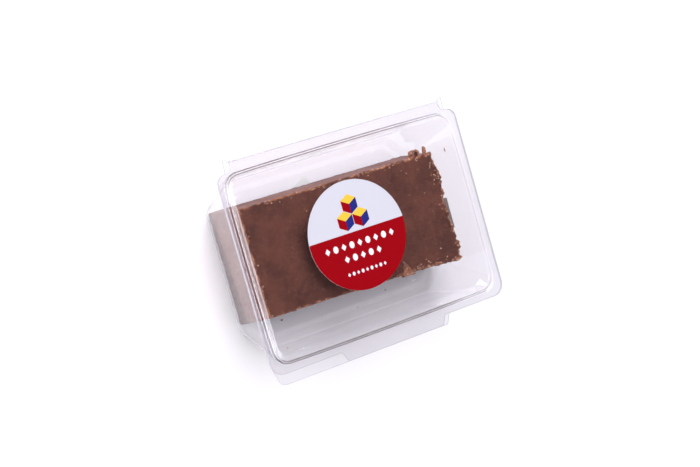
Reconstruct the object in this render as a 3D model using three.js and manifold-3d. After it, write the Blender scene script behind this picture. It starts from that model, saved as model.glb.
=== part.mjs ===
// A slab of milk chocolate fudge in its clear hinged clamshell pack
//
// The pack stands on its base with the lid shut. +X runs along the pack, +Y points to the
// hinge at the back and +Z is up. The origin is the centre of the footprint, on the surface
// that the pack stands on. All sizes are in millimetres.

import * as THREE from 'three';
import { mergeVertices } from 'three/addons/utils/BufferGeometryUtils.js';
import Module from 'manifold-3d';

const wasm = await Module();
wasm.setup();

// The pack as a whole: its film, and the seam between the flanges of tub and lid
const packHeight = 40.2;
const film = 0.5;
const seam = 0.3;

// The two flanges share one outline apart from their tabs
const flangeLength = 127;
const flangeDepth = 94.1;
const flangeCorner = 6;
const tabReach = 4.6;
const tabStep = 3;
const tubTabFrom = -26.8;
const tubTabTo = 27.8;
const lidTabInset = 1.3;
const lidTabCorner = 4;
const lidTabTo = 29.6;

// The back corners are cut in round the hinge, whose fold stands out behind the flange. The
// tub's half of the fold flares out into an ear at each end, past the ends of the lid's half.
const hingeReach = 1.7;
const hingeCutIn = 2.8;
const backCorner = 4.5;
const tubHingeLength = 116.8;
const lidHingeLength = 111.4;
const earWidth = 2.2;
const earReach = 1.7;

// The tub: a wall with draft on a rounded foot, and a raised panel inside the foot's ring.
// Its corners are nearly round at the mouth and run down into flat chamfers at the foot.
const mouthLength = 121;
const mouthDepth = 87.4;
const mouthCorner = { chamfer: 4.7, round: 7.4 };
const footLength = 113.4;
const footDepth = 79.6;
const footCorner = { chamfer: 12, round: 5 };
const footRound = 4;
const footRing = 2.4;
const panelRise = 0.8;
const rimRound = 1;

// The lid: a sunk panel inside a sloped wall, which plugs the tub's mouth
const recess = 5;
const lidPanelLength = 111.3;
const lidPanelDepth = 80.4;
const lidPanelCorner = { chamfer: 2.8, round: 4.4 };
const lidPanelFold = 1;

// The fudge lies against the left wall of the tub, a little askew
const fudgeTop = 29.4;
const fudgeLeftTop = -53.4;
const fudgeLeftFoot = -55.2;
const fudgeRight = 52.3;
const fudgeRightWave = 0.6;
const fudgeRightCrest = 0.16;
const fudgeRightPitch = 0.56;
const fudgeBackLeft = 27.6;
const fudgeBackRight = 26.7;
const fudgeBackFlare = 1;
const fudgeFrontLeft = -23.2;
const fudgeFrontRight = -25.2;
const fudgeFrontSpur = 1.4;
const fudgeSpurPower = 6;
const fudgeFrontFlare = 1.8;
const fudgeEdge = 1;
const leastWear = 0.3;
const topWearShare = 0.7;
const footWearShare = 0.5;
const crumble = 0.5;
const topWave = 0.2;
const topWaveRate = 9;
const crossWaveRate = 5;

// The shaving that curls off the back of the slab, and the nib beside it
const curlAt = 43.6;
const curlRadius = 2.3;
const curlThickness = 0.9;
const curlHeight = 4;
const curlBelowTop = 0.9;
const curlWrap = 27;
const nibAt = 48.2;
const nibReach = 3.9;
const nibWidth = 1.5;
const nibHeight = 3;
const nibRoot = 1.5;
const nibLean = -14;

// The splinter that has broken up out of the front edge, narrowing to a tip on the top
const splinterFrom = 18.8;
const splinterTo = 25.4;
const splinterTip = 20.8;
const splinterEdge = -24.8;
const splinterReach = 1.2;
const splinterLength = 6.4;
const splinterRise = 0.3;
const splinterDepth = 3;

// The paper labels: a round one on the lid, one under the floor, a small one on the right wall
const labelThickness = 0.15;
const labelGap = 0.05;
const lidLabelDiameter = 50.8;
const lidLabelX = -1.8;
const lidLabelY = 0.8;
const baseLabelLength = 38;
const baseLabelWidth = 32;
const baseLabelCornerX = -2.3;
const baseLabelCornerY = 32.3;
const baseLabelTurn = 28;
const endLabelWidth = 15;
const endLabelHeight = 12;
const endLabelTop = 20.2;
const endLabelBack = 2.9;

// Heights that follow from the sizes above
const lidUnder = packHeight - film;
const tubTop = lidUnder - seam;
const tubUnder = tubTop - film;
const rimLevel = tubTop - rimRound;
const lidPanelTop = packHeight - recess;
const floorTop = panelRise + film;
const fudgeFoot = floorTop + seam;

// The lid's upper face stands this far inside the tub's outer face at the mouth
const plugInset = 2 * film + seam;
const lidRimRound = rimRound + seam + film;

// No corner of the formed film is sharper than this
const sharpestCorner = 0.5;

// How finely the shapes are divided
const cornerPoints = 8;
const roundSteps = 4;
const foldSteps = 3;
const curveSteps = 6;
const labelSteps = 48;
const fudgeCells = new THREE.Vector3(34, 18, 8);
const endCrowding = 0.6;

// How the crumbling of the fudge is scattered: the step in phase from cell to cell
const gritPhase = new THREE.Vector3(12.9898, 78.233, 37.719);
const gritScale = 43758.5453;

// Turns a closed three.js geometry into a solid that can be joined and cut
function solidOf(geometry) {
  const plain = geometry.clone();
  plain.deleteAttribute('normal');
  plain.deleteAttribute('uv');
  const welded = mergeVertices(plain, 1e-4);
  const mesh = new wasm.Mesh({
    numProp: 3,
    vertProperties: new Float32Array(welded.attributes.position.array),
    triVerts: new Uint32Array(welded.index.array),
  });
  return new wasm.Manifold(mesh);
}

// Turns a joined or cut solid back into a three.js geometry
function geometryOf(solid) {
  const mesh = solid.getMesh();
  const geometry = new THREE.BufferGeometry();
  geometry.setAttribute('position', new THREE.BufferAttribute(mesh.vertProperties, 3));
  geometry.setIndex(new THREE.BufferAttribute(mesh.triVerts, 1));
  geometry.computeVertexNormals();
  return geometry;
}

// One ring of a formed film: a rectangle at a height. Each corner is cut off by a chamfer of
// the given leg, whose two ends are rounded to the given radius.
function ring(halfLength, halfDepth, chamfer, round, z) {
  return { halfLength, halfDepth, chamfer, round, z };
}

// The ring that lies outside another by a distance, or inside where that is negative
function widened(level, distance, z) {
  return ring(
    level.halfLength + distance,
    level.halfDepth + distance,
    level.chamfer + distance * (2 - Math.SQRT2),
    Math.max(level.round + distance, sharpestCorner),
    z,
  );
}

function between(from, to, share) {
  const mix = key => THREE.MathUtils.lerp(from[key], to[key], share);
  return ring(mix('halfLength'), mix('halfDepth'), mix('chamfer'), mix('round'), mix('z'));
}

// A point on a ring, counted round its four corners from the front right one. Each corner
// has two arcs of an eighth of a turn, one at each end of its chamfer.
function ringPoint(level, step) {
  const corner = Math.floor(step / cornerPoints) % 4;
  const place = step % cornerPoints;
  const arcPoints = cornerPoints / 2;
  const second = place >= arcPoints;
  const along = (place % arcPoints) / (arcPoints - 1);
  const angle = (corner - 1) * Math.PI / 2 + ((second ? 1 : 0) + along) * Math.PI / 4;
  const sideX = corner === 0 || corner === 1 ? 1 : -1;
  const sideY = corner === 1 || corner === 2 ? 1 : -1;

  // The arc at the end of the front or back edge, or at the end of the left or right edge
  const reach = level.chamfer + level.round * Math.tan(Math.PI / 8);
  const onLongEdge = second === (corner % 2 === 1);
  const insetX = onLongEdge ? reach : level.round;
  const insetY = onLongEdge ? level.round : reach;
  return [
    sideX * (level.halfLength - insetX) + level.round * Math.cos(angle),
    sideY * (level.halfDepth - insetY) + level.round * Math.sin(angle),
  ];
}

// A solid stacked up from rings: a lathe gives the mesh, and each level is set on its ring
function stackedSolid(section) {
  const bottom = section[0];
  const top = section[section.length - 1];
  const levels = [ring(0, 0, 0, 0, bottom.z), ...section, ring(0, 0, 0, 0, top.z)];
  const profile = levels.map(level => new THREE.Vector2(level.halfLength, level.z));
  const lathe = new THREE.LatheGeometry(profile, 4 * cornerPoints);
  const position = lathe.attributes.position;
  for (let i = 0; i < position.count; i++) {
    const level = levels[i % levels.length];
    const [x, y] = ringPoint(level, Math.floor(i / levels.length));
    position.setXYZ(i, x, y, level.z);
  }
  return solidOf(lathe);
}

// Moves every ring square to the section, outwards and down, so a film keeps its thickness
function offsetSection(section, distance) {
  return section.map((level, i) => {
    const before = section[Math.max(i - 1, 0)];
    const after = section[Math.min(i + 1, section.length - 1)];
    const run = after.halfLength - before.halfLength;
    const rise = after.z - before.z;
    const length = Math.hypot(run, rise);
    return widened(level, distance * rise / length, level.z - distance * run / length);
  });
}

// The bend from a wall out into its flange, where the wall stands at the given ring
function rimBend(wall, radius) {
  const levels = [];
  for (let i = 0; i <= roundSteps; i++) {
    const angle = i / roundSteps * Math.PI / 2;
    levels.push(widened(wall, radius * (1 - Math.cos(angle)), wall.z + radius * Math.sin(angle)));
  }
  return levels;
}

// Carries the last ring of a section straight up to a height
function carriedUp(section, z) {
  return [...section, widened(section[section.length - 1], 0, z)];
}

// A corner of the outline: a quarter turn about its own centre, towards the given sides
function drawCorner(shape, sideX, sideY, x, y, radius) {
  const start = Math.atan2(sideY, sideX) - Math.PI / 4;
  shape.absarc(x - sideX * radius, y - sideY * radius, radius, start, start + Math.PI / 2, false);
}

// A tab's side: a soft step between the flange's front edge and the tab's edge
function drawTabStep(shape, x, fromY, toY) {
  const from = x - tabStep / 2;
  const to = x + tabStep / 2;
  shape.lineTo(from, fromY);
  shape.bezierCurveTo(x, fromY, x, toY, to, toY);
}

// The right end and the back of a flange, from its front right corner to its back left one
function drawRightAndBack(shape, hingeLength, ear) {
  const halfLength = flangeLength / 2;
  const halfHinge = hingeLength / 2;
  const front = -flangeDepth / 2;
  const back = flangeDepth / 2;
  const cutBack = back - hingeCutIn;
  const fold = back + hingeReach;
  drawCorner(shape, 1, -1, halfLength, front, flangeCorner);
  drawCorner(shape, 1, 1, halfLength, cutBack, backCorner);
  shape.quadraticCurveTo(halfHinge, cutBack, halfHinge, back);
  shape.lineTo(halfHinge, fold + ear);
  shape.quadraticCurveTo(halfHinge - earWidth, fold + ear, halfHinge - earWidth, fold);
  shape.lineTo(-halfHinge + earWidth, fold);
  shape.quadraticCurveTo(-halfHinge + earWidth, fold + ear, -halfHinge, fold + ear);
  shape.lineTo(-halfHinge, back);
  shape.quadraticCurveTo(-halfHinge, cutBack, -halfLength + backCorner, cutBack);
  drawCorner(shape, -1, 1, -halfLength, cutBack, backCorner);
}

// The tub's flange has a tab in the middle of its front edge
function tubFlangeShape() {
  const front = -flangeDepth / 2;
  const shape = new THREE.Shape();
  drawCorner(shape, -1, -1, -flangeLength / 2, front, flangeCorner);
  drawTabStep(shape, tubTabFrom, front, front - tabReach);
  drawTabStep(shape, tubTabTo, front - tabReach, front);
  drawRightAndBack(shape, tubHingeLength, earReach);
  shape.closePath();
  return shape;
}

// The lid's flange has a wide tab that starts at its left front corner
function lidFlangeShape() {
  const front = -flangeDepth / 2;
  const left = -flangeLength / 2;
  const tabSide = left + lidTabInset;
  const shape = new THREE.Shape();
  shape.moveTo(left, front + flangeCorner);
  shape.quadraticCurveTo(left, front + lidTabInset, tabSide, front);
  drawCorner(shape, -1, -1, tabSide, front - tabReach, lidTabCorner);
  drawTabStep(shape, lidTabTo, front - tabReach, front);
  drawRightAndBack(shape, lidHingeLength, 0);
  shape.closePath();
  return shape;
}

function flangeSlab(shape, underside) {
  const slab = new THREE.ExtrudeGeometry(shape, {
    depth: film,
    bevelEnabled: false,
    curveSegments: curveSteps,
  });
  slab.translate(0, 0, underside);
  return solidOf(slab);
}

// A formed film with a flange round it: the flange and the shell's outside, less its hollow
function formedGeometry(shape, innerSection, underside) {
  const outerSection = offsetSection(innerSection, film);
  const shell = stackedSolid(carriedUp(outerSection, underside + film / 2));
  const hollow = stackedSolid(carriedUp(innerSection, packHeight + film));
  return geometryOf(flangeSlab(shape, underside).add(shell).subtract(hollow));
}

// The tub's outer face at its mouth, just below the bend into the flange
function mouthRing() {
  return ring(mouthLength / 2, mouthDepth / 2, mouthCorner.chamfer, mouthCorner.round, rimLevel);
}

// The tub's inner wall at a height, from the foot's chamfers to the round corners of the mouth
function tubWall(z) {
  const foot = ring(footLength / 2, footDepth / 2, footCorner.chamfer, footCorner.round, 0);
  const mouth = mouthRing();
  return widened(between(foot, mouth, z / rimLevel), -film, z);
}

// The tub's inner face: floor panel, ring of the foot, rounded foot, wall and rim
function tubSection() {
  const innerRound = footRound - film;
  const base = tubWall(footRound);
  const ringInset = innerRound + footRing;
  const panelInset = ringInset + panelRise;
  const levels = [
    widened(base, -panelInset - footRing, floorTop),
    widened(base, -panelInset, floorTop),
    widened(base, -ringInset, film),
  ];
  for (let i = 0; i <= roundSteps; i++) {
    const angle = i / roundSteps * Math.PI / 2;
    const inset = innerRound * (1 - Math.sin(angle));
    levels.push(widened(base, -inset, film + innerRound * (1 - Math.cos(angle))));
  }
  levels.push(...rimBend(tubWall(rimLevel), rimRound));
  return levels;
}

// The lid's upper face: sunk panel, folded edge, sloped wall and rim
function lidSection() {
  const rim = widened(mouthRing(), -plugInset, rimLevel);
  const { chamfer, round } = lidPanelCorner;
  const fold = ring(lidPanelLength / 2, lidPanelDepth / 2, chamfer, round, lidPanelTop);
  const panelEdge = widened(fold, -lidPanelFold, lidPanelTop);
  const wallFoot = between(fold, rim, lidPanelFold / (rim.z - fold.z));
  const levels = [widened(panelEdge, -lidPanelFold, lidPanelTop)];
  for (let i = 0; i <= foldSteps; i++) {
    const share = i / foldSteps;
    levels.push(between(between(panelEdge, fold, share), between(fold, wallFoot, share), share));
  }
  levels.push(...rimBend(rim, lidRimRound));
  return levels;
}

// A fixed value between 0 and 1 for each cell corner of the fudge
function grit(i, j, k) {
  const mixed = Math.sin(gritPhase.dot(new THREE.Vector3(i, j, k))) * gritScale;
  return mixed - Math.floor(mixed);
}

// Draws the grid lines of the fudge closer together at both ends
function finerAtEnds(share) {
  return share - endCrowding * Math.sin(2 * Math.PI * share) / (2 * Math.PI);
}

// The cut slab, skewed as it lies, with worn edges and a gently uneven top
function slabSolid() {
  const { x: cellsX, y: cellsY, z: cellsZ } = fudgeCells;
  const box = new THREE.BoxGeometry(1, 1, 1, cellsX, cellsY, cellsZ);
  const position = box.attributes.position;
  const share = new THREE.Vector3();
  for (let n = 0; n < position.count; n++) {
    share.fromBufferAttribute(position, n).addScalar(0.5);
    const i = Math.round(share.x * cellsX);
    const j = Math.round(share.y * cellsY);
    const k = Math.round(share.z * cellsZ);
    const along = finerAtEnds(share.x);
    const across = finerAtEnds(share.y);
    const up = finerAtEnds(share.z);

    // The four sides as they stand at this place
    const wavePlace = 2 * Math.PI * (across - fudgeRightCrest) / fudgeRightPitch;
    const left = THREE.MathUtils.lerp(fudgeLeftFoot, fudgeLeftTop, up);
    const right = fudgeRight + fudgeRightWave * Math.cos(wavePlace);
    const spur = fudgeFrontSpur * along ** fudgeSpurPower;
    const frontTop = THREE.MathUtils.lerp(fudgeFrontLeft, fudgeFrontRight, along) - spur;
    const front = frontTop - fudgeFrontFlare * (1 - up);
    const backTop = THREE.MathUtils.lerp(fudgeBackLeft, fudgeBackRight, along);
    const back = backTop + fudgeBackFlare * (1 - up);

    // Crumbled sides, and edges worn back where two or three sides meet
    const sideX = i === 0 ? 1 : i === cellsX ? -1 : 0;
    const sideY = j === 0 ? 1 : j === cellsY ? -1 : 0;
    const sideZ = k === 0 ? 1 : k === cellsZ ? -1 : 0;
    const sides = Math.abs(sideX) + Math.abs(sideY) + Math.abs(sideZ);
    const mostWear = k === 0 ? fudgeEdge * footWearShare : fudgeEdge;
    const edgeWear = mostWear * THREE.MathUtils.lerp(leastWear, 1, grit(i, j, k));
    const wear = sides > 1 ? edgeWear : crumble * grit(i, j, k);
    const wave = topWave * Math.sin(topWaveRate * along + across) * Math.sin(crossWaveRate * across);
    const topWear = sides > 1 ? wear * topWearShare : 0;
    position.setXYZ(
      n,
      THREE.MathUtils.lerp(left, right, along) + sideX * wear,
      THREE.MathUtils.lerp(front, back, across) + sideY * wear,
      THREE.MathUtils.lerp(fudgeFoot, fudgeTop + wave, up) + sideZ * topWear,
    );
  }
  return solidOf(box);
}

// A ribbon of fudge that the knife has lifted off the back face in an open loop
function curlSolid() {
  const wrap = THREE.MathUtils.degToRad(curlWrap);
  const shape = new THREE.Shape();
  shape.absarc(0, 0, curlRadius, -wrap, Math.PI + wrap, false);
  shape.absarc(0, 0, curlRadius - curlThickness, Math.PI + wrap, -wrap, true);
  shape.closePath();
  const ribbon = new THREE.ExtrudeGeometry(shape, {
    depth: curlHeight,
    bevelEnabled: false,
    curveSegments: 2 * curveSteps,
  });
  ribbon.translate(curlAt, fudgeBackRight, fudgeTop - curlBelowTop - curlHeight);
  return solidOf(ribbon);
}

// A small finger of fudge that stands out from the same face
function nibSolid() {
  const shape = new THREE.Shape();
  shape.absarc(0, nibReach - nibWidth / 2, nibWidth / 2, 0, Math.PI, false);
  shape.lineTo(-nibWidth / 2, -nibRoot);
  shape.lineTo(nibWidth / 2, -nibRoot);
  shape.closePath();
  const finger = new THREE.ExtrudeGeometry(shape, {
    depth: nibHeight,
    bevelEnabled: false,
    curveSegments: curveSteps,
  });
  finger.rotateZ(THREE.MathUtils.degToRad(nibLean));
  finger.translate(nibAt, fudgeBackRight, fudgeTop - curlBelowTop - nibHeight);
  return solidOf(finger);
}

// A thin wedge that lies on the front edge and stands a little proud of the top
function splinterSolid() {
  const shape = new THREE.Shape();
  shape.moveTo(splinterFrom, -splinterReach);
  shape.lineTo(splinterTo, -splinterReach);
  shape.lineTo(splinterTip, splinterLength);
  shape.closePath();
  const wedge = new THREE.ExtrudeGeometry(shape, { depth: splinterDepth, bevelEnabled: false });
  wedge.translate(0, splinterEdge, fudgeTop + splinterRise - splinterDepth);
  return solidOf(wedge);
}

function fudgeGeometry() {
  return geometryOf(slabSolid().add(curlSolid()).add(nibSolid()).add(splinterSolid()));
}

// Materials
const clearPlastic = new THREE.MeshStandardMaterial({
  color: 0xf2f4f8,
  roughness: 0.06,
  metalness: 0,
  transparent: true,
  opacity: 0.3,
});
const lidPlastic = clearPlastic.clone();
const chocolate = new THREE.MeshStandardMaterial({ color: 0x69443c, roughness: 0.55, metalness: 0 });
const labelPaper = new THREE.MeshStandardMaterial({ color: 0xa81c2c, roughness: 0.5, metalness: 0 });
const plainPaper = new THREE.MeshStandardMaterial({ color: 0xe6e6e8, roughness: 0.7, metalness: 0 });
const smallLabelPaper = plainPaper.clone();

function namedMesh(name, geometry, material) {
  const mesh = new THREE.Mesh(geometry, material);
  mesh.name = name;
  return mesh;
}

// The tub and the lid
const tub = namedMesh('tub', formedGeometry(tubFlangeShape(), tubSection(), tubUnder), clearPlastic);
const lid = namedMesh('lid', formedGeometry(lidFlangeShape(), lidSection(), lidUnder), lidPlastic);

// The fudge
const fudge = namedMesh('fudge', fudgeGeometry(), chocolate);

// The round label on top of the lid's panel
const discRadius = lidLabelDiameter / 2;
const lidLabelDisc = new THREE.CylinderGeometry(discRadius, discRadius, labelThickness, labelSteps);
const lidLabel = namedMesh('lid_label', lidLabelDisc, labelPaper);
lidLabel.rotation.x = Math.PI / 2;
lidLabel.position.set(lidLabelX, lidLabelY, lidPanelTop + labelGap + labelThickness / 2);

// The label under the raised floor, turned as it was stuck on
const baseLabelSheet = new THREE.BoxGeometry(baseLabelLength, baseLabelWidth, labelThickness);
baseLabelSheet.translate(-baseLabelLength / 2, -baseLabelWidth / 2, 0);
const baseLabel = namedMesh('base_label', baseLabelSheet, plainPaper);
baseLabel.rotation.z = THREE.MathUtils.degToRad(baseLabelTurn);
baseLabel.position.set(baseLabelCornerX, baseLabelCornerY, panelRise - labelGap - labelThickness / 2);

// The small label on the outside of the right wall, which leans out with it
const wallLean = Math.atan2((mouthLength - footLength) / 2, rimLevel);
const endLabelMiddle = endLabelTop - endLabelHeight / 2;
const endWall = tubWall(endLabelMiddle).halfLength + film;
const endLabelSheet = new THREE.BoxGeometry(labelThickness, endLabelWidth, endLabelHeight);
endLabelSheet.translate(labelGap + labelThickness / 2, 0, 0);
const endLabel = namedMesh('end_label', endLabelSheet, smallLabelPaper);
endLabel.rotation.y = wallLean;
endLabel.position.set(endWall, endLabelBack - endLabelWidth / 2, endLabelMiddle);

// The pack is centred between the tabs at its front and the ears of the hinge at its back
const pack = new THREE.Group();
pack.position.y = (tabReach - hingeReach - earReach) / 2;
pack.add(tub, lid, fudge, lidLabel, baseLabel, endLabel);

export default pack;
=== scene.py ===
# A slab of milk chocolate fudge in its clear hinged clamshell pack, shut and standing on its base.
# +X runs along the pack, +Y points to the hinge and +Z is up, in metres.

import math
import random

import bmesh
import bpy
from mathutils import Matrix, Quaternion, Vector, noise


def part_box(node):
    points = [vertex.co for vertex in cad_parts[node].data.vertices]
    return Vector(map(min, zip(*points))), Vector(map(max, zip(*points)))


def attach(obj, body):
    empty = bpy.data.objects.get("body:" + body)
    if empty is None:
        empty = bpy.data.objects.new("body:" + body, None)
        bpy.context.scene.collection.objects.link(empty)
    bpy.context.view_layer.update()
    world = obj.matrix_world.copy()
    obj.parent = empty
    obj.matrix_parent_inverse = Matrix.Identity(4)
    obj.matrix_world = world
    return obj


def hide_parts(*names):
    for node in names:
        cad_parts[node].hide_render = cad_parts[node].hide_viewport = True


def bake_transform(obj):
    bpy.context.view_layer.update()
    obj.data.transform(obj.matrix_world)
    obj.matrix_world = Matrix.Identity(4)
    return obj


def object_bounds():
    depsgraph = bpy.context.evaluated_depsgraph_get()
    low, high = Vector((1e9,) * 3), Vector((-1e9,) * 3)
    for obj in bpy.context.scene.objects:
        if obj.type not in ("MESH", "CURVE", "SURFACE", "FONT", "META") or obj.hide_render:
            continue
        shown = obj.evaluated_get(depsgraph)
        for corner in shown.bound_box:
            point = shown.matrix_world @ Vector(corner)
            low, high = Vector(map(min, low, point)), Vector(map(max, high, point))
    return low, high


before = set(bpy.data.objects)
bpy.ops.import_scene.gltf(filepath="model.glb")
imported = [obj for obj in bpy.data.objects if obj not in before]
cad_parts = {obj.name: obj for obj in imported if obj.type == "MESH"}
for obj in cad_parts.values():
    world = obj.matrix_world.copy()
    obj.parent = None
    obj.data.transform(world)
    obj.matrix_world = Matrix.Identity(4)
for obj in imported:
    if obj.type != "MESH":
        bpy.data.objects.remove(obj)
cad_low, cad_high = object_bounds()

MM = 0.001

# The tub
# The lower half of one thermoformed sheet of clear plastic. The sheet was drawn down into a foot
# ring, a raised floor and drafted walls, and trimmed to a flange with a tab and half of the hinge.

pack_shift = 0.6 * MM
film = 0.35 * MM
solid_film = 0.5 * MM
flange_length = 127 * MM
flange_depth = 94.1 * MM
flange_corner = 6 * MM
back_corner = 4.5 * MM
tab_reach = 4.6 * MM
tab_step = 3 * MM
tub_tab = (-26.8 * MM, 27.8 * MM)
hinge_reach = 1.7 * MM
hinge_cut_in = 2.8 * MM
tub_hinge_length = 116.8 * MM
ear_width = 2.2 * MM
ear_reach = 1.7 * MM
crease_drop = 0.3 * MM
crease_y = flange_depth / 2 + pack_shift

pack_height = cad_high.z
tub_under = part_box("tub")[1].z - solid_film
mouth = {"half_x": 60.5 * MM, "half_y": 43.7 * MM, "chamfer": 4.7 * MM, "round": 7.4 * MM}
foot = {"half_x": 56.7 * MM, "half_y": 39.8 * MM, "chamfer": 12 * MM, "round": 5 * MM}
mouth_bow = 0.5 * MM
bow_fullness = 0.7
least_round = 0.4 * MM
rim_round = 1.2 * MM
foot_round = 4 * MM
foot_ring = 2.4 * MM
floor_rise = 0.8 * MM
floor_slope = 4 * MM
floor_steps = 6
bend_steps = 6
arc_steps = 7
side_steps = 14
crisp_above = 40
flat_border = 0.7 * MM
trim_border = 0.22 * MM
hair = 0.05 * MM

film_tint = (0.957, 0.95, 0.97, 1)
film_index = 1.5
film_shadow = 0.04
ripple_scale = 60
ripple_height = 1 * MM
ripple_strength = 0.12
haze_scale = 900
haze_range = (0.4, 0.75)
film_roughness = (0.015, 0.07)
# The trimmed edge's opaque grey is painted shade for the dark line that light makes along the film's cut
# edge.
cut_scale = 1200
edge_shade_tones = ((0.4, 0.38, 0.43, 1), (0.7, 0.68, 0.74, 1))
cut_roughness = 0.45


def ring(shape, grow, z, bow=0.0):
    """One level of a formed wall: a rectangle whose corners are chamfers with rounded ends."""
    half_x = shape["half_x"] + grow
    half_y = shape["half_y"] + grow
    radius = max(shape["round"] + grow, least_round)
    reach = shape["chamfer"] + grow * (2 - math.sqrt(2)) + radius * math.tan(math.pi / 8)
    places = []
    for corner, (side_x, side_y) in enumerate([(1, -1), (1, 1), (-1, 1), (-1, -1)]):
        for half in range(2):
            on_long_edge = half == corner % 2
            x = side_x * (half_x - (reach if on_long_edge else radius))
            y = side_y * (half_y - (radius if on_long_edge else reach))
            for step in range(arc_steps + 1):
                angle = (corner - 1) * math.pi / 2 + (half + step / arc_steps) * math.pi / 4
                places.append(Vector((x + radius * math.cos(angle), y + radius * math.sin(angle), z)))
        start = places[-1]
        follow = (corner + 1) % 4
        along_x = corner % 2 == 1
        end = Vector((-start.x, start.y, z)) if along_x else Vector((start.x, -start.y, z))
        for step in range(1, side_steps):
            share = step / side_steps
            point = start.lerp(end, share)
            outward = Vector((0, side_y, 0)) if along_x else Vector((side_x, 0, 0))
            places.append(point + outward * bow * (4 * share * (1 - share)) ** bow_fullness)
    return [point + Vector((0, pack_shift, 0)) for point in places]


def shrunk(shape, inset):
    """A ring's shape, drawn in by an inset on every side."""
    shrinking = {"half_x": 1, "half_y": 1, "chamfer": 2 - math.sqrt(2), "round": 1}
    return {key: shape[key] - inset * shrinking[key] for key in shape}


def mixed(one, other, share):
    """A wall's outline part of the way from one ring's shape to another's."""
    return {key: one[key] + (other[key] - one[key]) * share for key in one}


def draw_on(mesh, loop, places):
    """Draws the sheet on from its edge loop to the next ring of places, and returns the new loop."""
    edges = [mesh.edges.get(pair) for pair in zip(loop, loop[1:] + loop[:1])]
    drawn = bmesh.ops.extrude_edge_only(mesh, edges=edges)["geom"]
    fresh = {item for item in drawn if isinstance(item, bmesh.types.BMVert)}
    following = []
    for corner in loop:
        ends = [edge.other_vert(corner) for edge in corner.link_edges]
        following.append(next(end for end in ends if end in fresh))
    for corner, place in zip(following, places):
        corner.co = place
    return following


def arc(x, y, radius, start, turn, steps=10):
    """Points on an arc about a centre, from a start angle through a turn, both in degrees."""
    angles = [math.radians(start + turn * step / steps) for step in range(steps + 1)]
    return [(x + radius * math.cos(angle), y + radius * math.sin(angle)) for angle in angles]


def curve(start, pull, end, steps=8):
    """Points on a curve that leaves its start and meets its end towards one pulling point."""
    a, b, c = Vector(start), Vector(pull), Vector(end)
    shares = [step / steps for step in range(steps + 1)]
    return [tuple(a.lerp(b, share).lerp(b.lerp(c, share), share)) for share in shares]


def s_step(x, from_y, to_y, steps=8):
    """The soft side of a tab, between the flange's edge and the tab's edge."""
    points = []
    for step in range(steps + 1):
        share = step / steps
        ease = share * share * (3 - 2 * share)
        points.append((x + (share - 0.5) * tab_step, from_y + (to_y - from_y) * ease))
    return points


def right_and_back(hinge_length, ear):
    """The flange's outline from its front right corner round the hinge to its back left corner."""
    end = flange_length / 2
    hinge_end = hinge_length / 2
    back = flange_depth / 2
    cut = back - hinge_cut_in
    fold = back + hinge_reach
    inner = hinge_end - ear_width
    right = arc(end - flange_corner, -back + flange_corner, flange_corner, -90, 90)
    right += arc(end - back_corner, cut - back_corner, back_corner, 0, 90)
    right += curve((end - back_corner, cut), (hinge_end, cut), (hinge_end, back))
    right += [(hinge_end, fold + ear)]
    if ear:
        right += curve((hinge_end, fold + ear), (inner, fold + ear), (inner, fold))
    left = [(-x, y) for x, y in reversed(right) if y > 0]
    return right + left


def trim_outline(mesh, points, z):
    """Adds the flange's trimmed edge to the sheet, with a narrow border of painted shade for the dark
    line along the cut edge.
    """
    merged = []
    for point in points:
        if not merged or (Vector(point) - Vector(merged[-1])).length > hair:
            merged.append(point)
    corners = [mesh.verts.new((x, y + pack_shift, z)) for x, y in merged]
    inner = []
    for before, corner, after in zip(corners[-1:] + corners[:-1], corners, corners[1:] + corners[:1]):
        mesh.edges.new((corner, after))
        along = (after.co - before.co).normalized()
        inner.append(corner.co + Vector((-along.y, along.x, 0)) * trim_border)
    border = draw_on(mesh, corners, inner)
    # The border faces take the painted edge shade.
    for face in {face for corner in corners for face in corner.link_faces}:
        face.material_index = 1
    return [mesh.edges.get(pair) for pair in zip(border, border[1:] + border[:1])]


def fill_flange(mesh, loop, outline):
    """Fills the flange between the mouth and the trimmed edge, and creases it along the hinge."""
    inner = [mesh.edges.get(pair) for pair in zip(loop, loop[1:] + loop[:1])]
    filled = bmesh.ops.triangle_fill(mesh, use_beauty=True, edges=inner + outline)["geom"]
    faces = [item for item in filled if isinstance(item, bmesh.types.BMFace)]
    parts = set(faces)
    for edge in outline:
        parts.update(edge.link_faces)
    for face in list(parts):
        parts.update(face.edges)
        parts.update(face.verts)
    bmesh.ops.bisect_plane(
        mesh, geom=list(parts), dist=1e-7, plane_co=(0, crease_y, 0), plane_no=(0, 1, 0)
    )


def mesh_piece(name, mesh, materials, smooth_below=None):
    """Turns a bmesh into a finished piece, smooth across edges flatter than the given angle."""
    data = bpy.data.meshes.new(name)
    mesh.to_mesh(data)
    mesh.free()
    for material in materials:
        data.materials.append(material)
    if smooth_below is not None:
        data.shade_smooth()
        data.set_sharp_from_angle(angle=math.radians(smooth_below))
    piece = bpy.data.objects.new(name, data)
    bpy.context.scene.collection.objects.link(piece)
    return piece


def finish_film(mesh, name, creased_towards):
    """Makes the drawn sheet a piece that faces outwards and is creased along the hinge."""
    for corner in mesh.verts:
        past = (corner.co.y - crease_y) / hinge_reach
        if past > 0:
            corner.co.z += creased_towards * crease_drop * min(past, 1)
    bmesh.ops.remove_doubles(mesh, verts=mesh.verts, dist=1e-6)
    bmesh.ops.recalc_face_normals(mesh, faces=mesh.faces)
    widest = max(mesh.faces, key=lambda face: face.calc_area())
    if widest.normal.z < 0:
        bmesh.ops.reverse_faces(mesh, faces=mesh.faces)
    for face in mesh.faces:
        face.smooth = True
    return mesh_piece(name, mesh, [clear_film, edge_shade])


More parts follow.
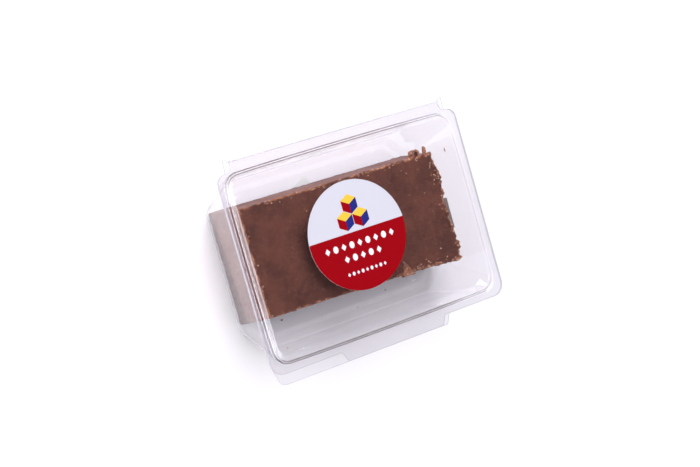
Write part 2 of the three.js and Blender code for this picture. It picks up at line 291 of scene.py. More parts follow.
def thicken(piece, offset):
    """Gives a sheet its thickness, to the side that the offset says, with crisp trimmed edges."""
    wall = piece.modifiers.new("thickness", "SOLIDIFY")
    wall.thickness = film
    wall.offset = offset
    wall.use_even_offset = True
    # The rim faces take the painted edge shade too.
    wall.material_offset_rim = 1
    wall.use_quality_normals = True
    shaped = piece.evaluated_get(bpy.context.evaluated_depsgraph_get())
    piece.data = bpy.data.meshes.new_from_object(shaped)
    piece.modifiers.clear()
    piece.data.set_sharp_from_angle(angle=math.radians(crisp_above))
    corners = piece.data.vertices
    for edge in piece.data.edges:
        if all(abs(corners[end].co.y - crease_y) < hair for end in edge.vertices):
            edge.use_edge_sharp = True


def formed_half(name, rings, outline, flange_level, creased_towards):
    """One half of the sheet: drawn through its rings to the flange, trimmed, and thickened."""
    mesh = bmesh.new()
    circle = bmesh.ops.create_circle(mesh, cap_ends=True, segments=len(rings[0]), radius=1)
    loop = circle["verts"]
    for corner, place in zip(loop, rings[0]):
        corner.co = place
    for places in rings[1:]:
        loop = draw_on(mesh, loop, places)
    fill_flange(mesh, loop, trim_outline(mesh, outline, flange_level))
    piece = finish_film(mesh, name, creased_towards)
    thicken(piece, creased_towards)
    return piece


def new_material(name):
    """An empty material, with its node tree and its Principled shader."""
    material = bpy.data.materials.new(name)
    material.use_nodes = True
    tree = material.node_tree
    return material, tree, tree.nodes["Principled BSDF"]


def add_node(tree, kind, inputs=None, **settings):
    """Adds a node, sets its properties, and fills its sockets from values or from other sockets."""
    node = tree.nodes.new(kind)
    for key, value in settings.items():
        setattr(node, key, value)
    for key, value in (inputs or {}).items():
        if isinstance(value, bpy.types.NodeSocket):
            tree.links.new(value, node.inputs[key])
        else:
            node.inputs[key].default_value = value
    return node


def noisy(tree, place, scale, detail):
    """Noise over a piece, with finer grains as the scale grows."""
    settings = {"Vector": place, "Scale": scale, "Detail": detail}
    return add_node(tree, "ShaderNodeTexNoise", settings).outputs["Fac"]


def spread(tree, value, given, wanted=(0, 1)):
    """A value stretched from the given range onto the wanted one, and held inside it."""
    settings = {"Value": value, "From Min": given[0], "From Max": given[1]}
    settings.update({"To Min": wanted[0], "To Max": wanted[1]})
    return add_node(tree, "ShaderNodeMapRange", settings).outputs["Result"]


def blended(tree, share, first, second):
    """The second colour laid over the first by a share. Each is a value or a node's output."""
    settings = {0: share, 6: first, 7: second}
    return add_node(tree, "ShaderNodeMix", settings, data_type="RGBA").outputs[2]


def reckoned(tree, operation, *values):
    """The result of a sum whose terms are values or nodes' outputs."""
    return add_node(tree, "ShaderNodeMath", dict(enumerate(values)), operation=operation).outputs[0]


def bumped(tree, height, strength, distance):
    """The normal of a surface that is raised by a height."""
    settings = {"Height": height, "Strength": strength, "Distance": distance}
    return add_node(tree, "ShaderNodeBump", settings).outputs["Normal"]


def film_material():
    """Clear glossy film with the slow ripple of formed sheet. Light passes it almost unshaded."""
    material, tree, shader = new_material("clear_film")
    shader.inputs["Base Color"].default_value = film_tint
    shader.inputs["Metallic"].default_value = 0
    shader.inputs["IOR"].default_value = film_index
    shader.inputs["Transmission Weight"].default_value = 1
    place = add_node(tree, "ShaderNodeTexCoord").outputs["Object"]
    ripple = noisy(tree, place, ripple_scale, 2)
    tree.links.new(bumped(tree, ripple, ripple_strength, ripple_height), shader.inputs["Normal"])
    haze = noisy(tree, place, haze_scale, 3)
    tree.links.new(spread(tree, haze, haze_range, film_roughness), shader.inputs["Roughness"])
    rays = add_node(tree, "ShaderNodeLightPath").outputs
    soft = reckoned(tree, "MAXIMUM", rays["Is Shadow Ray"], rays["Is Diffuse Ray"])
    cover = reckoned(tree, "MULTIPLY_ADD", soft, film_shadow - 1, 1)
    tree.links.new(cover, shader.inputs["Alpha"])
    return material


def edge_shade_material():
    """Painted shade: a dull grey for the dark line that light makes along the film's trimmed edge."""
    material, tree, shader = new_material("film_edge_shade")
    place = add_node(tree, "ShaderNodeTexCoord").outputs["Object"]
    tone = blended(tree, noisy(tree, place, cut_scale, 2), *edge_shade_tones)
    tree.links.new(tone, shader.inputs["Base Color"])
    shader.inputs["Roughness"].default_value = cut_roughness
    return material


clear_film = film_material()
edge_shade = edge_shade_material()


def drafted(z):
    """The tub's outer face at a height, from the chamfered foot to the rounder mouth."""
    share = z / (tub_under - rim_round)
    return mixed(foot, mouth, share), mouth_bow * share


def tub_levels():
    """The rings of the tub's outer face, from the middle of its floor up to the flange."""
    base, base_bow = drafted(foot_round)
    ring_inset = foot_round + foot_ring
    levels = [ring(base, -ring_inset - 2 * floor_slope, floor_rise)]
    for step in range(floor_steps + 1):
        share = step / floor_steps
        ease = share * share * (3 - 2 * share)
        levels.append(ring(base, -ring_inset - floor_slope * (1 - share), floor_rise * (1 - ease)))
    for step in range(bend_steps + 1):
        angle = math.pi / 2 * step / bend_steps
        inset = foot_round * (1 - math.sin(angle))
        levels.append(ring(base, -inset, foot_round * (1 - math.cos(angle)), base_bow))
    for step in range(1, 4):
        z = foot_round + (tub_under - rim_round - foot_round) * step / 4
        shape, bow = drafted(z)
        levels.append(ring(shape, 0, z, bow))
    for step in range(bend_steps + 1):
        angle = math.pi / 2 * step / bend_steps
        z = tub_under - rim_round * (1 - math.sin(angle))
        levels.append(ring(mouth, rim_round * (1 - math.cos(angle)), z, mouth_bow))
    levels.append(ring(mouth, rim_round + flat_border, tub_under, mouth_bow))
    return levels


front = -flange_depth / 2
tub_outline = arc(-flange_length / 2 + flange_corner, front + flange_corner, flange_corner, 180, 90)
tub_outline += s_step(tub_tab[0], front, front - tab_reach)
tub_outline += s_step(tub_tab[1], front - tab_reach, front)
tub_outline += right_and_back(tub_hinge_length, ear_reach)
tub = formed_half("tub_film", tub_levels(), tub_outline, tub_under, 1)
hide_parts("tub")
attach(tub, "tub")

# The lid
# The upper half of the same sheet: a sunk panel inside a sloped wall that plugs the tub's mouth,
# and a flange with a wide tab at its left front corner. It is shut, so the two flanges meet.

lid_tab_inset = 1.3 * MM
lid_tab_corner = 4 * MM
lid_tab_to = 29.6 * MM
lid_hinge_length = 111.4 * MM
panel_level = pack_height - 5 * MM
shelf_level = pack_height - 2.4 * MM
lid_panel = {"half_x": 55.65 * MM, "half_y": 40.2 * MM, "chamfer": 2.8 * MM, "round": 4.4 * MM}
plug_inset = 1.3 * MM
lip_round = 1.2 * MM
panel_fold = 0.6 * MM
panel_ring = 2.4 * MM
shelf_fold = 0.4 * MM
fold_steps = 4
panel_shift = Vector((0, 0.5 * MM, 0))
plug_bow = 0.45 * MM


def lid_levels():
    """The rings of the lid's upper face: sunk panel, sloped band, short steep wall and lip."""
    plug = shrunk(mouth, plug_inset)
    levels = [ring(lid_panel, -inset, panel_level) for inset in (panel_ring, panel_fold)]
    rise = shelf_level - panel_level
    for step in range(1, fold_steps + 1):
        share = step / fold_steps
        up = panel_fold * share * share
        inset = panel_fold * (1 - share) ** 2
        shape = mixed(lid_panel, plug, up / rise)
        levels.append(ring(shape, -inset, panel_level + up, plug_bow * up / rise))
    levels = [[place + panel_shift for place in places] for places in levels]
    for step in range(fold_steps + 1):
        share = step / fold_steps
        down = shelf_fold * (1 - share) ** 2
        up = shelf_fold * share * share
        shape = mixed(lid_panel, plug, 1 - down / rise)
        levels.append(ring(shape, 0, shelf_level - down + up, plug_bow))
    for step in range(bend_steps + 1):
        angle = math.pi / 2 * step / bend_steps
        z = pack_height - lip_round * (1 - math.sin(angle))
        levels.append(ring(plug, lip_round * (1 - math.cos(angle)), z, plug_bow))
    levels.append(ring(plug, lip_round + flat_border, pack_height, plug_bow))
    return levels


tab_side = -flange_length / 2 + lid_tab_inset
lid_outline = curve(
    (-flange_length / 2, front + flange_corner),
    (-flange_length / 2, front + lid_tab_inset),
    (tab_side, front),
)
lid_tab_bend = front - tab_reach + lid_tab_corner
lid_outline += arc(tab_side + lid_tab_corner, lid_tab_bend, lid_tab_corner, 180, 90)
lid_outline += s_step(lid_tab_to, front - tab_reach, front)
lid_outline += right_and_back(lid_hinge_length, 0)
lid = formed_half("lid_film", lid_levels(), lid_outline, pack_height, -1)
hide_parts("lid")
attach(lid, "lid")

# The living hinge
# The narrow strip of the same sheet that folds over from the tub's flange to the lid's.

hinge_y = crease_y + hinge_reach
hinge_low = tub_under + crease_drop
hinge_high = pack_height - crease_drop
hinge_steps = 12

hinge_mesh = bmesh.new()
hinge_radius = (hinge_high - hinge_low) / 2
hinge_start = [
    hinge_mesh.verts.new((side * lid_hinge_length / 2, hinge_y, hinge_low)) for side in (-1, 1)
]
hinge_mesh.edges.new(hinge_start)
bmesh.ops.spin(
    hinge_mesh,
    geom=hinge_mesh.verts[:] + hinge_mesh.edges[:],
    cent=(0, hinge_y, hinge_low + hinge_radius),
    axis=(1, 0, 0),
    angle=math.pi,
    steps=hinge_steps,
)
bmesh.ops.recalc_face_normals(hinge_mesh, faces=hinge_mesh.faces)
if sum(face.normal.y for face in hinge_mesh.faces) < 0:
    bmesh.ops.reverse_faces(hinge_mesh, faces=hinge_mesh.faces)
hinge = mesh_piece("hinge_fold", hinge_mesh, [clear_film, edge_shade], smooth_below=60)
thicken(hinge, -1)
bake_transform(hinge)

# The fudge
# A slab cut from a tray of milk chocolate fudge. The knife left a smooth top and dull sides, the
# cut edges have crumbled, and a shaving curls off the back edge.

slab_size = (106 * MM, 52 * MM, 27.8 * MM)
slab_foot = 1.6 * MM
slab_top = slab_foot + slab_size[2]
left_top = -53.4 * MM
left_foot = -55.2 * MM
right_middle = 52.2 * MM
right_wave = 0.6 * MM
right_crest = 0.16
right_pitch = 0.56
back_left = 27.6 * MM
back_right = 26.7 * MM
back_flare = 1 * MM
front_left = -23.2 * MM
front_right = -25.2 * MM
front_spur = 1.4 * MM
front_flare = 1.8 * MM
slab_cell = 0.6 * MM
edge_radius = 0.45 * MM
edge_wave = 0.7
edge_wave_size = 3 * MM
worn_width = 1.9 * MM
foot_wear = 0.1
left_wear = 0.32
right_wear = 0.88
chip_size = 3.2 * MM
chip_start = 0.08
chip_depth = 2.2
broken_size = 2.2 * MM
pore_sizes = (2 * MM, 0.8 * MM)
pore_depths = (0.06, 0.22)
tear_size = 5 * MM
tear_depth = 0.6
sag_size = 16 * MM
sag_depth = 0.12
jag_sizes = (1.7 * MM, 1 * MM)
jag_depths = (1.3, 0.8)
shrinkage = 0.1
furthest_out = 0.7
# The slab's sides are painted darker below about 8 mm: painted shade for the tub's rounded foot that
# lies against them.
foot_shade_height = (7.4 * MM, 8.4 * MM)
foot_shade_slope = 0.09
foot_shade_wave = 1 * MM
noise_step = Vector((17.3, 5.1, 9.7))

top_browns = ((0.067, 0.0172, 0.0106, 1), (0.122, 0.035, 0.0215, 1))
mottle_brown = (0.15, 0.05, 0.034, 1)
fleck_pale = (0.4, 0.22, 0.16, 1)
pit_brown = (0.05, 0.013, 0.01, 1)
cut_browns = ((0.17, 0.075, 0.062, 1), (0.25, 0.125, 0.105, 1))
drag_brown = (0.14, 0.055, 0.042, 1)
# Painted shade for the low band of the slab's sides.
foot_shade_brown = (0.075, 0.021, 0.016, 1)
crumb_browns = ((0.2, 0.06, 0.028, 1), (0.42, 0.17, 0.085, 1))
crumb_pale = (0.78, 0.52, 0.37, 1)
speck_pale = (0.72, 0.47, 0.35, 1)

# Each grain gives the scale and the detail of its noise, the part of the noise's range that
# counts, and the shares that this part is stretched to.
cloud_grain = (95, 4, 0.32, 0.68, 0, 1)
mottle_grain = (480, 3, 0.35, 0.7, 0, 1)
grit_grain = (1500, 3, 0.3, 0.7, 0, 1)
top_layers = [
    ((480, 3, 0.5, 0.75, 0, 0.6), mottle_brown),
    ((1150, 2, 0.71, 0.76, 0, 0.7), fleck_pale),
    ((700, 2, 0.69, 0.75, 0, 0.6), pit_brown),
]
drag_grain = (700, 3, 0.56, 0.66, 0, 0.5)
crumb_grain = (1100, 3, 0.55, 0.68, 0, 1)
uneven_grain = (1300, 3, 0.35, 0.65, 0.4, 1.5)
sheen_grain = (120, 5, 0.3, 0.7, 0.5, 0.68)
fleck_range = (0.25, 0.5)
grit_strength = 0.35
grit_height = 0.2 * MM
fudge_specular = 0.25


def slab_place(along, across, up):
    """Where a share of the slab's length, depth and height lies, before any crumbling."""
    left = left_foot + (left_top - left_foot) * up
    right = right_middle + right_wave * math.cos(2 * math.pi * (across - right_crest) / right_pitch)
    front_y = front_left + (front_right - front_left) * along - front_spur * along**6
    back_y = back_left + (back_right - back_left) * along
    low_y = front_y - front_flare * (1 - up)
    high_y = back_y + back_flare * (1 - up)
    x = left + (right - left) * along
    y = low_y + (high_y - low_y) * across + pack_shift
    return Vector((x, y, slab_foot + (slab_top - slab_foot) * up))


def lumps(place, size, seed):
    """Smooth noise from about -1 to 1, whose lumps have about the given size."""
    return noise.noise(place / size + noise_step * seed)


def crumble(shares):
    """A point on the worn surface of the slab, how broken it is there, and how far round a side."""
    place = slab_place(*shares)
    gaps = [min(share, 1 - share) * size for share, size in zip(shares, slab_size)]
    radius = edge_radius * (1 + edge_wave * lumps(place, edge_wave_size, 1))
    pulls = [math.copysign(max(radius - gap, 0), share - 0.5) for share, gap in zip(shares, gaps)]
    reach = Vector(pulls)
    outward = reach.normalized()
    place += outward * radius - reach
    edge = max(0, 1 - sorted(gaps)[1] / worn_width) * (foot_wear + (1 - foot_wear) * shares[2] ** 3)
    side = 1 - max(outward.z, 0) ** 2
    ragged = left_wear + right_wear * shares[0] ** 3
    chip = max(0, lumps(place, chip_size, 2) - chip_start) * edge * ragged
    rough = lumps(place, pore_sizes[0], 4) + 0.5 * lumps(place, pore_sizes[1], 5)
    torn = max(0, outward.x) * tear_depth * lumps(place, tear_size, 6)
    sag = sag_depth * lumps(place, sag_size, 7) * max(outward.z, 0)
    jag = jag_depths[0] * lumps(place, jag_sizes[0], 3) + jag_depths[1] * lumps(place, jag_sizes[1], 9)
    height = (pore_depths[0] + pore_depths[1] * side) * rough + torn + sag + jag * edge * ragged
    height -= chip_depth * chip + shrinkage
    broken = edge * (0.6 + 1.1 * lumps(place, broken_size, 8)) + chip_depth * chip
    return place + outward * min(height, furthest_out) * MM, min(max(broken, 0), 1), side


slab_mesh = bmesh.new()
bmesh.ops.create_cube(slab_mesh, size=1)
for axis, size in enumerate(slab_size):
    rows = [e for e in slab_mesh.edges if abs(e.verts[0].co[axis] - e.verts[1].co[axis]) > 0.5]
    cuts = round(size / slab_cell) - 1
    bmesh.ops.subdivide_edges(slab_mesh, edges=rows, cuts=cuts, use_grid_fill=True)
broken_mark = slab_mesh.verts.layers.float.new("broken")
side_mark = slab_mesh.verts.layers.float.new("side")
for corner in slab_mesh.verts:
    corner.co, corner[broken_mark], corner[side_mark] = crumble([value + 0.5 for value in corner.co])


def fudge_material():
    """Milk chocolate fudge: dull brown, mottled, greyer on the knife's sides, pale where it broke, and
    darker low on its sides as painted shade.
    """
    material, tree, shader = new_material("fudge")
    place = add_node(tree, "ShaderNodeTexCoord").outputs["Object"]
    broken = add_node(tree, "ShaderNodeAttribute", attribute_name="broken").outputs["Fac"]
    side = add_node(tree, "ShaderNodeAttribute", attribute_name="side").outputs["Fac"]

    def grain(scale, detail, low, high, first, last):
        """Noise whose part from low to high is stretched to the shares first to last."""
        return spread(tree, noisy(tree, place, scale, detail), (low, high), (first, last))

    cloud = grain(*cloud_grain)
    mottle = grain(*mottle_grain)
    top = blended(tree, cloud, *top_browns)
    for layer, brown in top_layers:
        top = blended(tree, grain(*layer), top, brown)
    cut = blended(tree, cloud, *cut_browns)
    cut = blended(tree, grain(*drag_grain), cut, drag_brown)
    # Painted shade: the sides turn darker below a wavy line about 8 mm up, lower towards the back.
    axes = add_node(tree, "ShaderNodeSeparateXYZ", {0: place}).outputs
    leaning = reckoned(tree, "MULTIPLY_ADD", axes["Y"], foot_shade_slope, axes["Z"])
    wavy = reckoned(tree, "MULTIPLY_ADD", mottle, foot_shade_wave, leaning)
    cut = blended(tree, spread(tree, wavy, foot_shade_height), foot_shade_brown, cut)
    crumb = blended(tree, mottle, *crumb_browns)
    crumb = blended(tree, grain(*crumb_grain), crumb, crumb_pale)
    flecks = reckoned(tree, "MULTIPLY", broken, grain(*uneven_grain))
    skin = blended(tree, spread(tree, flecks, fleck_range), blended(tree, side, top, cut), crumb)
    skin = blended(tree, spread(tree, broken, (1, 2)), skin, speck_pale)
    tree.links.new(skin, shader.inputs["Base Color"])
    tree.links.new(grain(*sheen_grain), shader.inputs["Roughness"])
    grit = bumped(tree, grain(*grit_grain), grit_strength, grit_height)
    tree.links.new(grit, shader.inputs["Normal"])
    shader.inputs["Specular IOR Level"].default_value = fudge_specular
    return material


fudge_brown = fudge_material()
slab = mesh_piece("fudge_slab", slab_mesh, [fudge_brown], smooth_below=70)
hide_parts("fudge")
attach(slab, "tub")

# The shavings
# A strip that the knife lifted off the back edge and that curls on itself, a nib that stands
# beside it, and a ridged splinter that has broken up out of the front edge.

curl_centre = Vector((43.5 * MM, back_right + 1.2 * MM + pack_shift, 0))
curl_middle = 1.5 * MM
curl_thickness = 1 * MM
curl_height = 4 * MM
curl_top = slab_top - 0.6 * MM
curl_wrap = math.radians(42)
curl_steps = 30
nib_root = Vector((48.3 * MM, back_right + pack_shift, slab_top - 1.3 * MM))
nib_size = (1.05 * MM, 3.8 * MM, 1.2 * MM)
nib_lean = math.radians(-12)
splinter_base = (18.8 * MM, 25.4 * MM)
splinter_tip = 20.8 * MM
splinter_front = -25.6 * MM
splinter_length = 7 * MM
splinter_depth = 2 * MM
splinter_ridges = 3
splinter_taper = 0.92
splinter_lift = 0.5 * MM
ridge_height = 0.35 * MM
shaving_grain = 0.25 * MM
shaving_lumps = 1.2 * MM
broken_patch = 0.8 * MM


def roughen(mesh, corners, amount, size, seed, worn=0.5):
    """Roughens a loose bit of fudge and marks it as broken, or past 1 as paler than that."""
    broken = mesh.verts.layers.float.get("broken") or mesh.verts.layers.float.new("broken")
    side = mesh.verts.layers.float.get("side") or mesh.verts.layers.float.new("side")
    for corner in corners:
        shift = Vector([lumps(corner.co, size, seed + axis) for axis in range(3)])
        corner.co += shift * amount
        corner[broken] = worn + 0.5 * lumps(corner.co, broken_patch, seed)
        corner[side] = 1


shaving_mesh = bmesh.new()
section = bmesh.ops.create_grid(shaving_mesh, x_segments=2, y_segments=8, size=0.5)["verts"]
for corner in section:
    across, up = corner.co.x * curl_thickness, corner.co.y * curl_height
    corner.co = curl_centre + Vector((curl_middle + across, 0, curl_top - curl_height / 2 + up))
bmesh.ops.rotate(
    shaving_mesh, verts=section, cent=curl_centre, matrix=Matrix.Rotation(-curl_wrap, 3, "Z")
)
bmesh.ops.spin(
    shaving_mesh,
    geom=shaving_mesh.verts[:] + shaving_mesh.edges[:] + shaving_mesh.faces[:],
    cent=curl_centre,
    axis=(0, 0, 1),
    angle=math.pi + 2 * curl_wrap,
    steps=curl_steps,
)


def nugget(mesh, centre, size, seed, roughness=0.25, subdivisions=3):
    """Adds a rough lump of the given half sizes about a centre, and returns its corners."""
    ball = bmesh.ops.create_icosphere(mesh, subdivisions=subdivisions, radius=1)["verts"]
    for corner in ball:
        swell = 1 + roughness * (lumps(corner.co, 0.8, seed) + lumps(corner.co, 0.35, seed + 1))
        corner.co = centre + Vector([value * half * swell for value, half in zip(corner.co, size)])
    return ball


nib = nugget(shaving_mesh, nib_root, nib_size, 3)
bmesh.ops.rotate(shaving_mesh, verts=nib, cent=nib_root, matrix=Matrix.Rotation(nib_lean, 3, "Z"))
splinter = bmesh.ops.create_grid(shaving_mesh, x_segments=14, y_segments=16, size=0.5)["verts"]
splinter_faces = list({face for corner in splinter for face in corner.link_faces})
for corner in splinter:
    across, along = corner.co.x + 0.5, corner.co.y + 0.5
    base = splinter_base[0] + (splinter_base[1] - splinter_base[0]) * across
    x = base + (splinter_tip - base) * along * splinter_taper
    y = splinter_front + splinter_length * along + pack_shift
    ridge = ridge_height * math.sin(2 * math.pi * splinter_ridges * across) * (1 - along)
    lift = splinter_lift * (1 - along) * across
    corner.co = Vector((x, y, slab_top + ridge + lift))
deepened = bmesh.ops.extrude_face_region(shaving_mesh, geom=splinter_faces, use_keep_orig=True)
sunk = [item for item in deepened["geom"] if isinstance(item, bmesh.types.BMVert)]
bmesh.ops.translate(shaving_mesh, verts=sunk, vec=(0, 0, -splinter_depth))
roughen(shaving_mesh, shaving_mesh.verts, shaving_grain, shaving_lumps, 11)
bmesh.ops.recalc_face_normals(shaving_mesh, faces=shaving_mesh.faces)
shavings = mesh_piece("fudge_shavings", shaving_mesh, [fudge_brown], smooth_below=70)
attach(shavings, "tub")

# The lid's label
# A round paper label on the sunk panel, printed with a pale field over a red one. In the pale
# field three blocks are drawn, and rows of lozenges and dots fill the red one.

label_centre = Vector((-1.8 * MM, 0.8 * MM + pack_shift, 0))
label_radius = 25.4 * MM
label_low, label_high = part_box("lid_label")
label_edge_steps = 160
field_line = 1.8 * MM
ink = 0.012 * MM
sunk_ink = 1.5 * ink
tooth_scale = 2500
# How much painted shade darkens the paper's pits.
pit_shade_share = 0.1
tooth_strength = 0.1
tooth_height = 0.1 * MM
paper_specular = 0.04
block_side = 4.6
block_places = [(-4.1, 7.4), (4.1, 7.4), (0, 14.5)]
block_faces = [(0, "gold"), (2, "red"), (4, "navy")]
mark_rows = [(9, -3.6, 1.6), (5, -9.4, 1.6), (9, -16.4, 0.9)]
mark_spacing = 2.7
mark_squeeze = 0.8
dot_sides = 20


def paper_group():
    """The faint tooth of paper: it paints shade into the colour in its pits and gives the bumped normal.
    """
    group = bpy.data.node_groups.new("paper_tooth_and_shade", "ShaderNodeTree")
    group.interface.new_socket("Colour", in_out="INPUT", socket_type="NodeSocketColor")
    group.interface.new_socket("Colour", in_out="OUTPUT", socket_type="NodeSocketColor")
    group.interface.new_socket("Normal", in_out="OUTPUT", socket_type="NodeSocketVector")
    given = add_node(group, "NodeGroupInput")
    place = add_node(group, "ShaderNodeTexCoord").outputs["Object"]
    tooth = noisy(group, place, tooth_scale, 3)
    # Painted shade: the colour darkens by up to a tenth where the tooth is lowest.
    pits = spread(group, tooth, (0, 1), (pit_shade_share, 0))
    tone = blended(group, pits, given.outputs["Colour"], (0, 0, 0, 1))
    normal = bumped(group, tooth, tooth_strength, tooth_height)
    add_node(group, "NodeGroupOutput", {"Colour": tone, "Normal": normal})
    return group


paper_tooth_and_shade = paper_group()


def paper_material(name, colour, roughness):
    """Printed or plain paper with a faint tooth and painted shade in its pits."""
    material, tree, shader = new_material(name)
    paper = add_node(tree, "ShaderNodeGroup", {"Colour": (*colour, 1)}, node_tree=paper_tooth_and_shade)
    tree.links.new(paper.outputs["Colour"], shader.inputs["Base Color"])
    tree.links.new(paper.outputs["Normal"], shader.inputs["Normal"])
    shader.inputs["Roughness"].default_value = roughness
    shader.inputs["Specular IOR Level"].default_value = paper_specular
    return material


inks = {
    "white": paper_material("label_white", (0.86, 0.85, 0.95), 0.45),
    "pale": paper_material("label_pale", (0.63, 0.63, 0.72), 0.45),
    "red": paper_material("label_red", (0.31, 0.0016, 0.006), 0.4),
    "gold": paper_material("label_gold", (0.85, 0.55, 0.06), 0.4),
    "navy": paper_material("label_navy", (0.02, 0.025, 0.2), 0.4),
}
ink_places = {name: index for index, name in enumerate(inks)}


def printed(mesh, points, colour):
    """Adds a flat printed shape to the label, given by points about the label's centre in mm."""
    top = label_high.z + ink
    corners = [mesh.verts.new(label_centre + Vector((x * MM, y * MM, top))) for x, y in points]
    face = mesh.faces.new(corners)
    face.material_index = ink_places[colour]
    sides = bmesh.ops.extrude_face_region(mesh, geom=[face], use_keep_orig=True)["geom"]
    sunk = [item for item in sides if isinstance(item, bmesh.types.BMVert)]
    bmesh.ops.translate(mesh, verts=sunk, vec=(0, 0, -sunk_ink))


def turned_shape(sides, radius, x=0.0, y=0.0, turn=0.0, squeeze=1.0):
    """The corners of a regular shape about a place, turned by degrees and squeezed along X."""
    angles = [math.radians(turn + 360 * side / sides) for side in range(sides)]
    return [(x + radius * squeeze * math.cos(angle), y + radius * math.sin(angle)) for angle in angles]


label_mesh = bmesh.new()
bmesh.ops.create_circle(label_mesh, cap_ends=True, segments=label_edge_steps, radius=label_radius)
disc_place = label_centre + Vector((0, 0, label_low.z))
bmesh.ops.translate(label_mesh, verts=label_mesh.verts[:], vec=disc_place)
lifted = bmesh.ops.extrude_face_region(label_mesh, geom=label_mesh.faces[:], use_keep_orig=True)
upper = [item for item in lifted["geom"] if isinstance(item, bmesh.types.BMVert)]
bmesh.ops.translate(label_mesh, verts=upper, vec=(0, 0, label_high.z - label_low.z))
bmesh.ops.bisect_plane(
    label_mesh,
    geom=label_mesh.verts[:] + label_mesh.edges[:] + label_mesh.faces[:],
    dist=1e-7,
    plane_co=label_centre + Vector((0, field_line, 0)),
    plane_no=(0, 1, 0),
)
for face in label_mesh.faces:
    above = face.calc_center_median().y > label_centre.y + field_line
    flat_top = face.normal.z > 0.5
    name = "white" if not flat_top else "pale" if above else "red"
    face.material_index = ink_places[name]
for centre in block_places:
    hexagon = turned_shape(6, block_side, *centre, 30)
    for first, colour in block_faces:
        rhombus = [centre] + [hexagon[(first + step) % 6] for step in range(3)]
        printed(label_mesh, rhombus, colour)
for count, y, radius in mark_rows:
    for place in range(count):
        x = (place - (count - 1) / 2) * radius * mark_spacing
        sides = 4 if place % 2 == 0 else dot_sides
        printed(label_mesh, turned_shape(sides, radius, x, y, 0, mark_squeeze), "white")
bmesh.ops.recalc_face_normals(label_mesh, faces=label_mesh.faces)
label = mesh_piece("round_label", label_mesh, inks.values())
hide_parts("lid_label")
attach(label, "lid")

# The plain labels
# Two plain paper labels, one under the raised floor and one on the right wall. Their solids are
# right as they are and get the look of uncoated paper.

plain_paper = paper_material("plain_paper", (0.84, 0.87, 0.85), 0.7)
for node in ("base_label", "end_label"):
    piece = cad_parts[node]
    piece.data.materials.clear()
    piece.data.materials.append(plain_paper)

# The crumbs
# Crumbs that fell off the slab onto the tub's floor, and one that is caught on the lid's panel,
# with a smear of fudge on the right wall.

floor_crumbs = [(-34.6, -29.0, 0.8), (22.7, -32.0, 0.6), (5.6, -35.4, 0.5), (49.7, -27.8, 0.6)]
caught_crumb = Vector((-51 * MM, -37.2 * MM + pack_shift, panel_level - film - 0.2 * MM))
smear_height = 28.5 * MM
smear_y = 25.8 * MM + pack_shift
caught_size = (0.3 * MM, 0.45 * MM, 0.15 * MM)
smear_size = (0.2 * MM, 1 * MM, 0.6 * MM)
crumb_grain_height = 0.05 * MM
crumb_lumps = 0.4 * MM
crumb_mesh = bmesh.new()
for x, y, size in floor_crumbs:
    half = size * MM / 2
    bed = Vector((x * MM, y * MM + pack_shift, floor_rise + film + half))
    nugget(crumb_mesh, bed, (half, half * 1.3, half), x, 0.35, 2)
nugget(crumb_mesh, caught_crumb, caught_size, 3, 0.35, 2)
smear_x = drafted(smear_height)[0]["half_x"] + mouth_bow * smear_height / tub_under - film
nugget(crumb_mesh, Vector((smear_x, smear_y, smear_height)), smear_size, 4, 0.4, 2)
roughen(crumb_mesh, crumb_mesh.verts, crumb_grain_height, crumb_lumps, 5)
crumbs = mesh_piece("fudge_crumbs", crumb_mesh, [fudge_brown], smooth_below=70)
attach(crumbs, "tub")

# The specks
# Pale specks of broken fudge that cling to the slab's top, most of them along its cut edges.
# Those are given by the parts of the slab's length and depth that they lie in, and their count.

top_specks = [(-20.5, 17.7), (-51.6, 14.7), (-52.8, -13.4), (-51.2, -22.1), (-7.0, -24.3), (-36.3, 25.8)]
top_specks += [(32.8, 22.2), (35.1, 20.4), (41.7, 20.5), (48.3, 11.6), (41.9, 9.0), (51.0, -18.3)]
top_specks += [(42.2, -18.4), (29.5, -22.5), (32.9, -21.1), (47.3, -25.3)]
edge_specks = [(0.955, 0.99, 0.45, 0.97, 20), (0.05, 0.95, 0.955, 0.985, 16)]
edge_specks += [(0.005, 0.02, 0.05, 0.97, 14), (0.7, 0.98, 0.015, 0.06, 12)]
top_speck_sizes = (0.3 * MM, 0.55 * MM)
edge_speck_sizes = (0.14 * MM, 0.34 * MM)
speck_worn = 1.4
random.seed(7)
speck_mesh = bmesh.new()
for x, y in top_specks:
    half = random.uniform(*top_speck_sizes)
    place = Vector((x * MM, y * MM + pack_shift, slab_top))
    nugget(speck_mesh, place, (half, half * 0.7, half * 0.7), x, 0.4, 2)
for from_along, to_along, from_across, to_across, count in edge_specks:
    for speck in range(count):
        half = random.uniform(*edge_speck_sizes)
        along = random.uniform(from_along, to_along)
        place = slab_place(along, random.uniform(from_across, to_across), 1)
        nugget(speck_mesh, place, (half * 1.4, half, half * 0.8), speck, 0.4, 2)
roughen(speck_mesh, speck_mesh.verts, crumb_grain_height, crumb_lumps, 5, worn=speck_worn)
specks = mesh_piece("fudge_specks", speck_mesh, [fudge_brown], smooth_below=70)
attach(specks, "tub")

# The studio
# A pale floor that glows further out, four soft lamps, and a sky that is brightest low down and,
# as from a window, towards +X. The camera looks down on the pack from its front left, rolled so
# that the pack's long side runs up to the right in the picture.

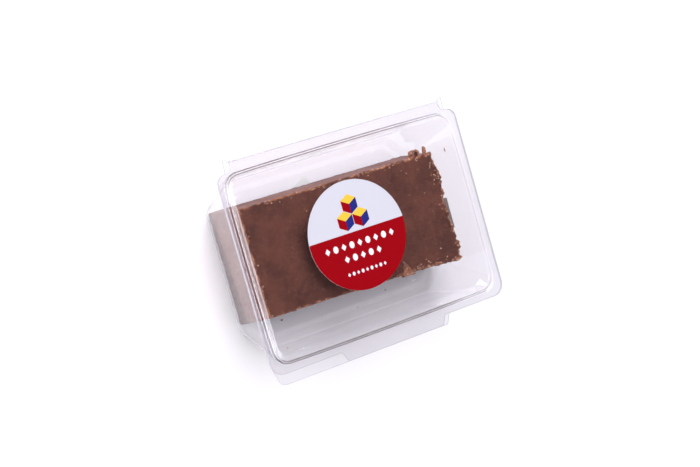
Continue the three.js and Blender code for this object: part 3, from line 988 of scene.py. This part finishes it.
eye = Vector((-0.3308085, 0.0564274, 0.6441619))
aim = Vector((-0.0052814, 0.0029143, 0.035))
picture_roll = math.radians(82.295)
lens_length = 78.48
horizon_glow = 1.5
zenith_glow = 0.12
glow_heights = (0.12, 0.45)
glow_reach = (0.09, 0.28)
floor_glows = (0.035, 0.5)
window_glow = 2.6
window_sides = (0.87, 0.95)
sky_colour = (0.95, 0.94, 1, 1)
floor_colour = (0.9, 0.89, 0.92, 1)
lamp_aim = Vector((0, 0, 0.02))
lamps = [
    ("key", (0.1, 0.75, 0.95), 0.8, 12.7, (1, 0.985, 1), True),
    ("overhead", (0.1, 0.15, 1.1), 0.8, 3.9, (1, 0.985, 1), False),
    ("fill", (-1.2, 0.5, 0.8), 1.0, 4.5, (0.97, 0.97, 1), True),
    ("side", (-1, 0.1, 0.25), 0.5, 3.6, (0.97, 0.95, 1), False),
]

scene = bpy.context.scene
camera_data = bpy.data.cameras.new("camera")
camera_data.lens = lens_length
camera_data.sensor_width = 36
camera_data.clip_start = 0.01
camera = bpy.data.objects.new("camera", camera_data)
scene.collection.objects.link(camera)
turn = (aim - eye).to_track_quat("-Z", "Y") @ Quaternion((0, 0, 1), picture_roll)
camera.matrix_world = Matrix.Translation(eye) @ turn.to_matrix().to_4x4()
scene.camera = camera


for name, place, width, watts, colour, mirrored in lamps:
    lamp_data = bpy.data.lights.new(name, "AREA")
    lamp_data.shape = "SQUARE"
    lamp_data.size = width
    lamp_data.energy = watts
    lamp_data.color = colour
    lamp = bpy.data.objects.new(name, lamp_data)
    scene.collection.objects.link(lamp)
    facing = (lamp_aim - Vector(place)).to_track_quat("-Z", "Y").to_matrix().to_4x4()
    lamp.matrix_world = Matrix.Translation(place) @ facing
    lamp.visible_glossy = mirrored
    lamp.visible_transmission = mirrored

floor_mesh = bmesh.new()
bmesh.ops.create_grid(floor_mesh, x_segments=1, y_segments=1, size=4)
floor_paper, floor_tree, floor_shader = new_material("studio_floor")
floor_shader.inputs["Base Color"].default_value = floor_colour
floor_shader.inputs["Roughness"].default_value = 0.9
floor_shader.inputs["Emission Color"].default_value = (1, 1, 1, 1)
floor_place = add_node(floor_tree, "ShaderNodeTexCoord").outputs["Object"]
distance = add_node(floor_tree, "ShaderNodeVectorMath", {0: floor_place}, operation="LENGTH")
floor_glow = spread(floor_tree, distance.outputs["Value"], glow_reach, floor_glows)
floor_tree.links.new(floor_glow, floor_shader.inputs["Emission Strength"])
studio_floor = mesh_piece("studio_floor", floor_mesh, [floor_paper])

world = bpy.data.worlds.new("studio")
scene.world = world
world.use_nodes = True
sky_tree = world.node_tree
sky = sky_tree.nodes["Background"]
sky.inputs["Color"].default_value = sky_colour
direction = add_node(sky_tree, "ShaderNodeTexCoord").outputs["Generated"]
bearing = add_node(sky_tree, "ShaderNodeSeparateXYZ", {0: direction}).outputs
low_glow = spread(sky_tree, bearing["Z"], glow_heights, (horizon_glow, zenith_glow))
window = spread(sky_tree, bearing["X"], window_sides, (0, window_glow))
sky_tree.links.new(reckoned(sky_tree, "ADD", low_glow, window), sky.inputs["Strength"])
scene.view_settings.view_transform = "Standard"
